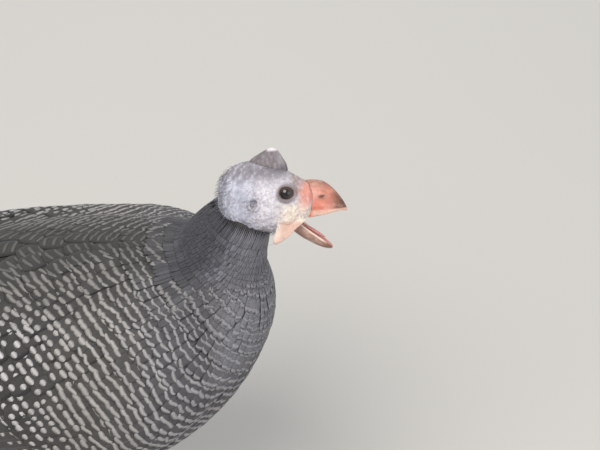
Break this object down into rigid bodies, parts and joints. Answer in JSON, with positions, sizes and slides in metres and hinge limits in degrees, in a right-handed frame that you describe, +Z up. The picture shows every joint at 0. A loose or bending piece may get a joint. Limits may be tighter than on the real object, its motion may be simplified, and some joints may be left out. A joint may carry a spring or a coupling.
{
  "type": "guinea fowl model",
  "caption": "Still, life-size model of a young helmeted guinea fowl, standing with its neck drawn in, its head rolled to one side and its bill open.",
  "frame": {"origin": "on the floor, under the middle of the bird's bounds", "axes": "+X is the way the bird faces, +Y its left side, +Z up"},
  "size_m": [0.3824, 0.1596, 0.3004],
  "materials": {
    "plumage": "small pearl-grey body feathers, fine pale bars at the front and round white spots behind, matt",
    "flight": "long grey-brown wing and tail feathers with rows of small white spots, faint sheen",
    "face_skin": "bare lilac-white skin, finely wrinkled, bluer at the back of the head",
    "casque": "low pinkish grey horn under rough, granular skin, paler at its tip",
    "bill": "horn, coral pink at the base, brownish along the ridge, cream along the cutting edge, low gloss",
    "mouth": "wet pink flesh",
    "wattle": "soft cream and pale pink skin, slightly translucent",
    "eye": "wet dark brown eye with a black pupil",
    "leg": "overlapping horny scales, brownish orange-pink",
    "claw": "dark brown horn"
  },
  "bodies": {
    "root": {"torso": "plumage", "neck": "plumage", "tail": "flight", "head": "face_skin", "casque": "casque", "bill_upper": "bill", "bill_lower": "bill", "tongue": "mouth", "eye_right": "eye", "wattle_right": "wattle", "wing_right": "flight", "thigh_right": "plumage", "shank_right": "leg", "foot_right": "leg", "claw_right_middle": "claw", "claw_right_inner": "claw", "claw_right_outer": "claw", "claw_right_hind": "claw", "eye_left": "eye", "wattle_left": "wattle", "wing_left": "flight", "thigh_left": "plumage", "shank_left": "leg", "foot_left": "leg", "claw_left_middle": "claw", "claw_left_inner": "claw", "claw_left_outer": "claw", "claw_left_hind": "claw"}
  },
  "joints": []
}
